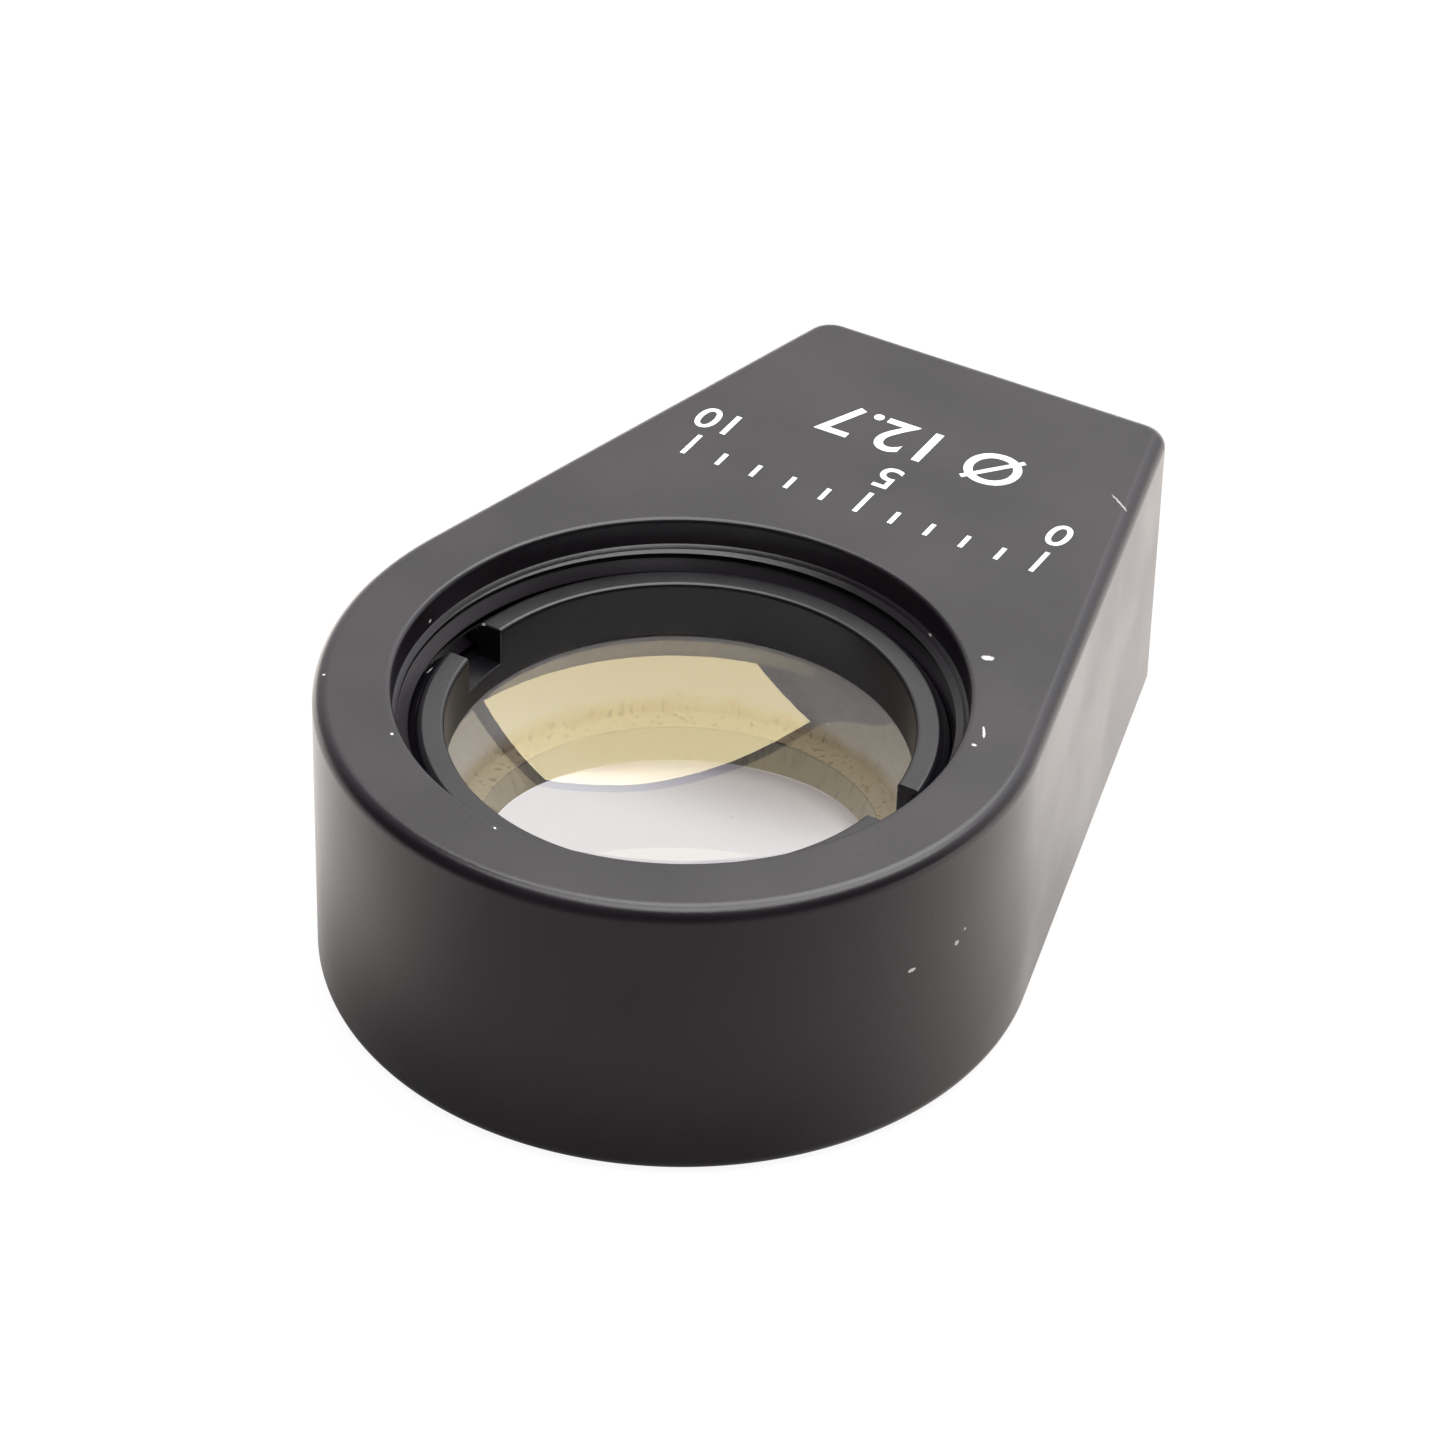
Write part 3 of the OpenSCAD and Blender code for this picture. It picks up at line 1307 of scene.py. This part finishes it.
@dataclass
class RetainingRing:
    """Screwed ring with two slots across its front for a spanner wrench.

    The thread is made longer than the ring, by past at each end, and cut back to an envelope that
    reaches into the ring's body by into_body.
    """

    finish: Material
    inner_r: float = 5.715
    outer_r: float = 6.755
    root_r: float = 6.44
    thickness: float = 1.64
    bottom_z: float = 5.136
    lead_front: float = 0.48
    lead_rear: float = 0.3
    inner_break: float = 0.09
    slot_w: float = 1.4
    slot_depth: float = 1.0
    turn: float = -2.0
    edge_break: float = 0.03
    root_break: float = 0.04
    past: float = 0.2
    into_body: float = 0.3
    break_steps: int = 5
    sector_steps: int = 200
    floor_steps: int = 10

    def slotted(self, lower: Profile, upper: Profile) -> Shell:
        """Shell of a ring with two slots.

        Args:
            lower: Profile below the slots' floor as radius and height, from the inner wall's top
                round the bottom to the outer wall's top.
            upper: Profile above it, from the outer wall round the top to the inner wall, and its
                first and last points stand right above the ends of the lower profile.

        Returns:
            The shell, turned to the angle at which the ring rests.
        """
        shell = Shell()
        c, half = self.edge_break, self.slot_w / 2
        floor = self.bottom_z + self.thickness - self.slot_depth
        inner, outer = lower[0][0], lower[-1][0]
        spin = radians(self.turn)

        def at(r: float, z: float, angle: float) -> Point:
            """Point at an angle from the middle of the first slot."""
            return (r * cos(angle + spin), r * sin(angle + spin), z)

        def sector(r: float, z: float, side: int) -> list[int]:
            """Add a row round the ring from slot to slot."""
            a, n = asin((half + c) / r), self.sector_steps
            return shell.row(at(r, z, side * pi + a + (pi - 2 * a) * i / n) for i in range(n + 1))

        def across(r: float, z: float, side: int) -> list[int]:
            """Add a row across a slot."""
            a, n = asin(half / r), self.floor_steps
            return shell.row(at(r, z, side * pi - a + 2 * a * i / n) for i in range(n + 1))

        # Full turns below the floor: each is slot, sector, slot, sector
        low = []
        for r, z in lower:
            parts = [(across(r, z, side), sector(r, z, side)) for side in (0, 1)]
            low.append([*parts[0], *parts[1]])
        shell.bridges([sum(parts, []) for parts in low])
        # Sectors above it
        high = [[sector(r, z, side) for side in (0, 1)] for r, z in upper]
        for side in (0, 1):
            chain = [low[-1][2 * side + 1]] + [row[side] for row in high] + [low[0][2 * side + 1]]
            shell.bridges(chain, False)
            # Walls at both ends of the sector, each inside a narrow chamfer
            wall = [(outer - c, floor), *self.inset_profile(upper, c), (inner + c, floor)]
            for end, slot_end, slot_side in ((0, -1, side), (-1, 0, 1 - side)):
                turns = [asin(half / r) if end == 0 else pi - asin(half / r) for r, _ in wall]
                numbers = shell.row(at(r, z, side * pi + a) for (r, z), a in zip(wall, turns))
                shell.bridge([row[end] for row in chain], numbers, False)
                shell.faces.append(tuple(numbers))
                for edge_row, corner in ((low[-1], numbers[0]), (low[0], numbers[-1])):
                    beside = edge_row[2 * slot_side][slot_end]
                    shell.faces.append((edge_row[2 * side + 1][end], beside, corner))
        # Floors of the slots
        for side in (0, 1):
            floors = [across(r, floor, side) for r in (outer - c, inner + c)]
            shell.bridges([low[-1][2 * side], *floors, low[0][2 * side]], False)
        return shell

    @staticmethod
    def inset_profile(profile: Profile, distance: float) -> Profile:
        """Profile moved inwards, for a convex profile that runs from the outside over the top.

        Args:
            profile: Points as radius and height.
            distance: How far each of its edges moves.

        Returns:
            As many points.
        """
        made = []
        for i, (r, z) in enumerate(profile):
            before = profile[i - 1] if i else (r, z - 1)
            after = profile[i + 1] if i + 1 < len(profile) else (r, z - 1)
            normals = []
            for (r0, z0), (r1, z1) in ((before, (r, z)), ((r, z), after)):
                length = hypot(r1 - r0, z1 - z0)
                normals.append((-(z1 - z0) / length, (r1 - r0) / length))
            (ax, az), (bx, bz) = normals
            scale = distance / (1 + ax * bx + az * bz)
            made.append((r + (ax + bx) * scale, z + (az + bz) * scale))
        return made

    def profiles(self, outer: float, lead_rear: float) -> tuple[Profile, Profile]:
        """Lower and upper profiles of a ring with this outer radius.

        Args:
            outer: Its outer radius.
            lead_rear: Chamfer at its rear edge.

        Returns:
            The profiles below and above the slots' floor.
        """
        low, top = self.bottom_z, self.bottom_z + self.thickness
        floor = top - self.slot_depth
        c, rim = self.inner_break, self.outer_r - self.lead_front
        shoulder = top - (outer - rim)
        turns = quarter_turn(self.break_steps)
        lower = [
            (self.inner_r, floor - self.edge_break),
            (self.inner_r, low + c + CLOSE),
            (self.inner_r, low + c),
            (self.inner_r + c, low),
            (outer - lead_rear, low),
            (outer, low + lead_rear),
            (outer, low + lead_rear + CLOSE),
            (outer, floor - self.edge_break),
        ]
        upper = [
            (outer, shoulder - CLOSE),
            (outer - TIGHT, shoulder + TIGHT),
            (rim + CLOSE, top - CLOSE),
            (rim - CLOSE, top),
            (rim - CLOSE - WIDE, top),
            (self.inner_r + c + WIDE, top),
            *((self.inner_r + c * (1 - sin(a)), top - c * (1 - cos(a))) for a in turns),
            (self.inner_r, top - c - WIDE),
        ]
        return lower, upper

    def body(self) -> Object:
        """Make the ring's body, as wide as the roots of its thread."""
        shell = self.slotted(*self.profiles(self.root_r, self.root_break))
        return shell.piece("slotted_ring", self.finish)

    def thread(self, tree: ThreadTree) -> Object:
        """Make the ring's thread, cut back by the lead chamfers and the slots.

        Args:
            tree: Tree that makes threads.

        Returns:
            The piece.
        """
        start, end = self.bottom_z - self.past, self.bottom_z + self.thickness + self.past
        crest = Helix(BORE_CREST.pitch, BORE_CREST.angle, BORE_CREST.z + BORE_CREST.pitch / 2)
        ridge = Thread(
            root_r=self.root_r,
            pitch=BORE_CREST.pitch,
            hand=Hand.OUTSIDE,
            depth=self.outer_r - self.root_r,
            start_z=start,
            end_z=end,
            phase=crest.at(start),
            run_in=0.02,
            run_out=0.02,
        )
        envelope = self.slotted(*self.envelope_profiles()).piece("envelope", self.finish)
        piece = place_piece("ring_thread", ridge.mesh(tree, self.finish), self.finish)
        return cut_back(piece, envelope)

    def envelope_profiles(self) -> tuple[Profile, Profile]:
        """Lower and upper profiles of what the thread is cut back to."""
        past = self.past / 2
        low, top = self.bottom_z + TIGHT / 2, self.bottom_z + self.thickness
        floor = top - self.slot_depth - self.edge_break
        inner, outer = self.root_r - self.into_body, self.outer_r + past
        lower = [
            (inner, floor),
            (inner, low),
            (self.outer_r - self.lead_rear, low),
            (outer, low + self.lead_rear + past),
            (outer, floor),
        ]
        upper = [
            (outer, top - self.lead_front - past),
            (self.outer_r - self.lead_front - TIGHT, top),
            (inner, top),
            (inner, top - past),
        ]
        return lower, upper


# Printed scale


@dataclass
class PrintedScale:
    """White print on the front face: a millimetre scale with its numbers, and the lens size."""

    finish: Material
    face_z: float = 7.87
    ink_t: float = 0.008
    sink: float = 0.004
    scale_y: float = 8.62
    half_w: float = 5.0
    spacing: float = 1.0
    minor: float = 0.55
    major: float = 0.95
    stroke: float = 0.13
    number_h: float = 0.95
    number_gap: float = 0.3
    draw_in: float = 0.98
    size_h: float = 1.45
    size_at: Place = (0.1, 12.8)
    weight: float = 0.008
    extrude: float = 0.1

    def tick_tree(self) -> NodeTree:
        """Build the tree that lays a row of ticks: a longer one at every fifth."""
        made = NodeTree("scale_ticks")
        nodes = Nodes(made.tree)
        count = made.input("Count", "NodeSocketInt")
        spacing, stroke, short, long, thick, start_x, top_y, base_z = made.inputs(
            "Spacing", "Stroke", "Short Length", "Long Length", "Thickness", "Start X", "Top Y",
            "Base Z",
        )
        every = made.input("Long Every", "NodeSocketInt")
        origin = nodes.combine(X=start_x, Y=top_y, Z=base_z)
        line = nodes.add(
            "GeometryNodeMeshLine",
            {"Count": count, "Start Location": origin, "Offset": nodes.combine(X=spacing)},
        )
        index = nodes.add("GeometryNodeInputIndex").outputs[0]
        is_long = nodes.math("LESS_THAN", nodes.math("MODULO", index, every), 0.5)
        extra = nodes.math("MULTIPLY", nodes.math("SUBTRACT", long, short), is_long)
        length = nodes.math("ADD", short, extra)
        size = nodes.combine(X=stroke, Y=1.0, Z=thick)
        tick = nodes.add("GeometryNodeMeshCube", {"Size": size})
        hang = nodes.combine(Y=0.5, Z=nodes.math("MULTIPLY", thick, 0.5))
        ticks = nodes.add(
            "GeometryNodeInstanceOnPoints",
            {
                "Points": line.outputs[0],
                "Instance": moved(nodes, tick, Translation=hang).outputs[0],
                "Scale": nodes.combine(X=1.0, Y=length, Z=1.0),
            },
        )
        made.close(ticks.outputs[0])
        return made

    def ticks(self) -> Object:
        """Make the row of ticks."""
        mesh = self.tick_tree().mesh(
            {
                "Count": 2 * int(self.half_w / self.spacing) + 1,
                "Spacing": -self.spacing * MM,
                "Stroke": self.stroke * MM,
                "Short Length": self.minor * MM,
                "Long Length": self.major * MM,
                "Thickness": self.ink_t * MM,
                "Start X": self.half_w * MM,
                "Top Y": self.scale_y * MM,
                "Base Z": (self.face_z - self.sink) * MM,
                "Long Every": 5,
                "Finish": self.finish,
            }
        )
        return place_piece("print_scale_ticks", mesh, self.finish)

    def words(self, name: str, text: str, height: float, x: float, y: float) -> Object:
        """Print one line of figures, read with the base upwards.

        Args:
            name: Name of the piece.
            text: The figures.
            height: Height of a figure.
            x: Middle of the line.
            y: Foot of the line.

        Returns:
            The piece.
        """
        curve = bpy.data.curves.new(name, "FONT")
        curve.body = text
        curve.align_x = "CENTER"
        curve.resolution_u = 6
        curve.offset = self.weight
        curve.extrude = self.extrude
        holder = new_object(name, curve)
        mesh = plain_mesh(holder)
        bpy.data.objects.remove(holder)
        heights = [v.co.y for v in mesh.vertices]
        scale = height / (max(heights) - min(heights)) * MM
        thin = self.ink_t / 2 / self.extrude * MM
        lay = Matrix.Translation((x * MM, y * MM, (self.face_z - self.sink + self.ink_t / 2) * MM))
        half_turn = Matrix.Rotation(pi, 4, "Z")
        mesh.transform(lay @ half_turn @ Matrix.Diagonal((scale, scale, thin, 1.0)))
        return place_piece(name, mesh, self.finish)

    def build(self) -> None:
        """Make every piece of the print and put it on the housing."""
        fit(self.ticks(), Body.MOUNT)
        below = self.scale_y + self.major + self.number_gap + self.number_h
        for number, x in ((0, self.half_w), (5, 0.0), (10, -self.half_w)):
            name = f"print_number_{number}"
            fit(self.words(name, str(number), self.number_h, x * self.draw_in, below), Body.MOUNT)
        fit(self.words("print_lens_size", "Ø 12.7", self.size_h, *self.size_at), Body.MOUNT)


# Stage


@dataclass(frozen=True)
class Card:
    """Glowing card that only the object sees, given by the directions of its corners."""

    name: str
    corners: Profile
    strength: float
    colour: Tone = (1.0, 0.99, 0.97)
    lights: bool = False
    distance: float = 1.0

    def build(self) -> Object:
        """Make the card: each corner is a direction from +Y towards +X, and an elevation."""
        mesh = bpy.data.meshes.new(self.name)
        points = []
        for azimuth, elevation in self.corners:
            a, e = radians(azimuth), radians(elevation)
            points.append(Vector((sin(a) * cos(e), cos(a) * cos(e), sin(e))) * self.distance)
        mesh.from_pydata(points, [], [tuple(range(len(points)))])
        material, nodes = new_material(self.name)
        nodes.end(nodes.glow(toned(self.colour), self.strength))
        mesh.materials.append(material)
        card = new_object(self.name, mesh)
        card.visible_camera = False
        card.visible_diffuse = self.lights
        card.visible_shadow = False
        return card


def ceiling(points: Profile) -> Profile:
    """Directions of points on a level plane one unit above the object.

    Args:
        points: Their places on the plane.

    Returns:
        For each, its azimuth from +Y towards +X and its elevation, in degrees.
    """
    return [(degrees(atan2(x, y)), degrees(atan2(1.0, hypot(x, y)))) for x, y in points]


WINDOW = (
    (-0.621, 0.397), (-0.59, 0.468), (-0.512, 0.682), (-0.41, 0.939), (-0.248, 1.21),
    (0.25, 0.8), (0.2, 0.35), (0.0, 0.15), (-0.22, 0.1),
)
WINDOW_FRAME = (
    (-0.67, 0.39), (-0.645, 0.475), (-0.565, 0.705), (-0.46, 0.97), (-0.27, 1.32),
    (0.32, 0.85), (0.25, 0.35), (0.05, 0.1), (-0.24, 0.02),
)
OVERHEAD = (
    (0.55, 0.8), (0.33, 0.78), (0.24, 0.3), (0.02, 0.05), (-0.22, 0.0), (-0.42, 0.02),
    (-0.57, -0.14), (-0.25, -0.38), (0.13, -0.47), (0.49, -0.31), (0.63, 0.09), (0.7, 0.52),
)
DARK_SIDE = (
    (-0.66, 0.405), (-0.74, 0.4), (-0.93, 0.46), (-1.31, 0.42), (-1.9, 0.2), (-1.7, -0.5),
    (-0.75, -0.35), (-0.45, -0.02), (-0.3, 0.15), (-0.5, 0.3),
)
LEFT = (
    (6.2, 44.7), (1.6, 43.1), (-4.1, 40.0), (-8.4, 37.2), (-10.7, 35.2), (-11.9, 25.7),
    (20.0, 22.0), (30.0, 40.0), (20.0, 48.0),
)
CARDS = (
    Card("card_panel", ceiling(WINDOW), 6.2, lights=True),
    Card("card_panel_frame", ceiling(WINDOW_FRAME), 0.05, distance=1.4),
    Card("card_overhead", ceiling(OVERHEAD), 6.2, lights=True),
    Card("card_dark_side", ceiling(DARK_SIDE), 0.25, distance=1.9),
    Card("card_left", LEFT, 1.85, (1.0, 1.0, 1.06), distance=1.9),
)


@dataclass(frozen=True)
class PaperFinish:
    """White paper under the object.

    The camera sees it nearly evenly white, with a soft shadow left in it. What the object mirrors
    of it has painted light and shade: painted brighter behind the object and towards -X, darker
    far in front, and a painted shadow at the object's foot. What is seen of it through the lens is
    painted dimmer, as shade under the housing, and darker still at the far side, as a painted
    shadow below the overhanging rim.
    """

    name: str
    paint: Tone = (0.86, 0.855, 0.85)
    camera_share: float = 0.9
    camera_white: float = 1.03
    mirrored: Tone = (1.03, 0.975, 0.935)
    # Paper seen through the lens: painted dimmer than the open floor as shade under the housing,
    # then painted darker towards the far side and as a shadow under the rim
    under_housing_shade: Tone = (0.775, 0.75, 0.745)
    shaded: Tone = (0.38, 0.35, 0.36)
    rim_shade: Tone = (0.2, 0.18, 0.2)
    falloff: float = 1.6
    # Where the painted shade seen through the lens starts and ends
    far_side: Ramp = (0.0008, 0.0056)
    rim_reach: Ramp = (0.005, 0.006)
    rim_side: Ramp = (0.002, 0.004)
    # Painted light and shade of the paper in reflections: brighter behind the object and towards
    # -X, darker far in front, and a painted shadow at the object's foot
    behind: Ramp = (-0.017, 0.020, 0.52, 1.75)
    before: Ramp = (-0.036, -0.019, 0.2, 1.0)
    beside: Ramp = (-0.011, -0.003, 1.85, 1.02)
    foot: Ramp = (0.0092, 0.0138)
    foot_side: Ramp = (-0.008, -0.0015, 0.38, 0.85)

    def through_lens_painted_shade(self, nodes: Nodes, y: NodeSocket, reach: NodeSocket) -> NodeSocket:
        """Colour of the paper where light reaches it through the lens, with painted shade: dimmer
        than the open floor, darker towards the far side, and a painted shadow under the rim.

        Args:
            nodes: Nodes of the material.
            y: Place across the paper, towards the base of the object.
            reach: Distance from the axis.

        Returns:
            The colour's socket.
        """
        painted_far_shade = nodes.math("POWER", nodes.ramp(y, *self.far_side), self.falloff)
        open_paper = nodes.blend(painted_far_shade, toned(self.under_housing_shade), toned(self.shaded))
        near_rim, far_rim = nodes.ramp(reach, *self.rim_reach), nodes.ramp(y, *self.rim_side)
        painted_rim_shadow = nodes.math("MULTIPLY", near_rim, far_rim)
        return nodes.blend(painted_rim_shadow, open_paper, toned(self.rim_shade))

    def mirrored_painted_light_and_shade(
        self, nodes: Nodes, x: NodeSocket, y: NodeSocket, reach: NodeSocket
    ) -> NodeSocket:
        """Strength of the paper in the object's reflections, with painted light behind the object
        and towards -X, and painted shade in front of it and at its foot.

        Args:
            nodes: Nodes of the material.
            x: Place across the paper.
            y: Place across the paper, towards the base of the object.
            reach: Distance from the axis.

        Returns:
            The strength's socket.
        """
        along = nodes.math("MULTIPLY", nodes.ramp(y, *self.behind), nodes.ramp(y, *self.before))
        side = nodes.ramp(x, *self.beside)
        foot = nodes.ramp(reach, *self.foot, nodes.ramp(y, *self.foot_side), 1.0)
        return nodes.math("MULTIPLY", along, nodes.math("MULTIPLY", side, foot))

    def build(self) -> Material:
        """Make the material."""
        material, nodes = new_material(self.name)
        path = nodes.add("ShaderNodeLightPath").outputs
        place = nodes.place()
        x, y, _ = nodes.add("ShaderNodeSeparateXYZ", {0: place}).outputs
        reach = nodes.vector("LENGTH", {0: place})["Value"]
        under = nodes.glow(self.through_lens_painted_shade(nodes, y, reach), 1.0)
        painted_mirror_glow = nodes.glow(toned(self.mirrored), self.mirrored_painted_light_and_shade(nodes, x, y, reach))
        paint = nodes.add("ShaderNodeBsdfDiffuse", {"Color": toned(self.paint)})
        plain = nodes.mix(path["Is Glossy Ray"], paint, painted_mirror_glow)
        white = nodes.glow(toned((1.0, 1.0, 1.0)), self.camera_white)
        share = nodes.math("MULTIPLY", path["Is Camera Ray"], self.camera_share)
        nodes.end(nodes.mix(path["Is Transmission Ray"], nodes.mix(share, plain, white), under))
        return material


@dataclass
class Studio:
    """Pale floor, soft surrounding light, reflecting cards and the camera."""

    floor_z: float = -0.01
    floor_size: float = 4.0
    sky: Tone = (1.0, 0.99, 0.975)
    sky_axis: Point = (-0.15, 0.93, 0.33)
    sky_light: Ramp = (-0.6, 0.9, 0.22, 0.42)
    sky_mirrored: Ramp = (0.0, 0.95, 0.05, 1.35)
    lens_mm: float = 146.74
    sensor_mm: float = 36.0
    clip: tuple[float, float] = (0.01, 20.0)
    azimuth: float = 29.0635
    elevation: float = 36.5088
    roll: float = 1.4488
    shift: tuple[float, float] = (1.1570, 5.3934)
    distance: float = 146.590

    def camera(self) -> None:
        """Make the camera."""
        az, el, roll = radians(self.azimuth), radians(self.elevation), radians(self.roll)
        back = Vector((sin(az) * cos(el), -cos(az) * cos(el), sin(el)))
        right = Vector((0, 0, 1)).cross(back).normalized()
        up = back.cross(right)
        right, up = cos(roll) * right + sin(roll) * up, cos(roll) * up - sin(roll) * right
        place = (self.shift[0] * right + self.shift[1] * up + self.distance * back) * MM
        turn = Matrix((right, up, back)).transposed().to_4x4()
        data = bpy.data.cameras.new("camera")
        data.lens = self.lens_mm
        data.sensor_width = self.sensor_mm
        data.clip_start, data.clip_end = self.clip
        camera = new_object("camera", data)
        camera.matrix_world = Matrix.Translation(place) @ turn
        bpy.context.scene.camera = camera

    def floor(self) -> None:
        """Make the floor, a hair below the object."""
        half, z = self.floor_size / 2, self.floor_z * MM
        corners = [(-half, -half, z), (half, -half, z), (half, half, z), (-half, half, z)]
        mesh = bpy.data.meshes.new("floor")
        mesh.from_pydata(corners, [], [(0, 1, 2, 3)])
        mesh.materials.append(PaperFinish("floor_white").build())
        new_object("floor", mesh)

    def surroundings(self) -> None:
        """Light the stage from all round, brighter behind the object than in front of it."""
        world = bpy.data.worlds.new("studio")
        bpy.context.scene.world = world
        world.use_nodes = True
        world.node_tree.nodes.clear()
        nodes = Nodes(world.node_tree)
        path = nodes.add("ShaderNodeLightPath").outputs
        way = nodes.add("ShaderNodeTexCoord").outputs["Generated"]
        axis = tuple(Vector(self.sky_axis).normalized())
        facing = nodes.vector("DOT_PRODUCT", {0: way, 1: axis})["Value"]
        soft = nodes.ramp(facing, *self.sky_light)
        extra = nodes.math("SUBTRACT", nodes.ramp(facing, *self.sky_mirrored), soft)
        strength = nodes.math("ADD", soft, nodes.math("MULTIPLY", path["Is Glossy Ray"], extra))
        background = "ShaderNodeBackground"
        light = nodes.glow(toned(self.sky), strength, background)
        white = nodes.glow(toned((1.0, 1.0, 1.0)), 1.0, background)
        nodes.end(nodes.mix(path["Is Camera Ray"], light, white), "ShaderNodeOutputWorld")

    def build(self) -> None:
        """Set the whole stage, with the cards that the object reflects."""
        self.camera()
        self.floor()
        self.surroundings()
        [card.build() for card in CARDS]
        bpy.context.scene.view_settings.view_transform = "Standard"


HOUSING_MARKS = (
    Mark(5.82, 4.82, 7.87, 0.34, 0.20, 20.0),
    Mark(7.15, 2.08, 7.87, 0.52, 0.07, -62.0, 0.9),
    Mark(7.19, 1.52, 7.87, 0.16, 0.10),
    Mark(5.56, 12.45, 7.87, 0.95, 0.06, -35.0, 0.6),
    Mark(6.67, 9.35, 7.87, 0.14, 0.10),
    Mark(-0.83, -7.18, 7.87, 0.10, 0.08),
    Mark(-4.85, -5.34, 7.87, 0.09, 0.08),
    Mark(-7.54, -4.15, 7.87, 0.10, 0.08),
    Mark(8.25, -3.30, 4.76, 0.24, 0.12, 70.0, 0.7),
    Mark(8.69, -1.88, 4.80, 0.16, 0.13, 60.0, 0.6),
    Mark(8.74, -1.60, 5.05, 0.12, 0.09, 60.0, 0.5),
    Mark(-6.98, -0.28, 7.29, 0.16, 0.10, 60.0, 0.8),
    Mark(3.69, 5.87, 7.12, 0.16, 0.06, -30.0, 0.4),
)
# Spots on the ring in bare-metal colour: the first is a knocked burr, and the second and third, at
# the corner of a slot, are painted highlights, not wear
RING_NICKS_AND_HIGHLIGHTS = (
    Mark(-6.53, -1.06, 6.45, 0.26, 0.22, 20.0),
    Mark(-6.20, 0.89, 6.77, 0.16, 0.12, 0.0, 0.6),
    Mark(-5.72, -0.27, 6.28, 0.12, 0.10, 0.0, 0.5),
    Mark(-0.02, 5.715, 5.16, 0.22, 0.06, 0.0, 0.5),
)
HOUSING_BLACK = AnodisedFinish("anodised_housing_black", nicks_and_highlights=HOUSING_MARKS)
RING_BLACK = AnodisedFinish(
    "anodised_ring_black", base=0.004, tint=(1.0, 0.82, 1.25), nicks_and_highlights=RING_NICKS_AND_HIGHLIGHTS
)


def main() -> None:
    """Build every sub-assembly in order and report each piece."""
    logging.basicConfig(level=logging.INFO, format="%(name)s: %(message)s")
    black, ring_black = HOUSING_BLACK.build(), RING_BLACK.build()
    glass = GlassFinish("crown_glass").build()
    ground = GroundFinish("ground_glass").build()
    ink = InkFinish("white_ink").build()
    threads = ThreadTree()

    Studio().build()
    housing = Housing(black, CementFinish("dried_cement").build())
    fit(housing.body(), Body.MOUNT, "housing")
    fit(housing.bore_thread(threads), Body.MOUNT)
    fit(housing.post_thread(threads), Body.MOUNT)
    fit(Lens(glass, ground).body(), Body.MOUNT, "lens")
    ring = RetainingRing(ring_black)
    fit(ring.body(), Body.RING, "retaining_ring")
    fit(ring.thread(threads), Body.RING)
    PrintedScale(ink).build()


if __name__ == "__main__":
    main()
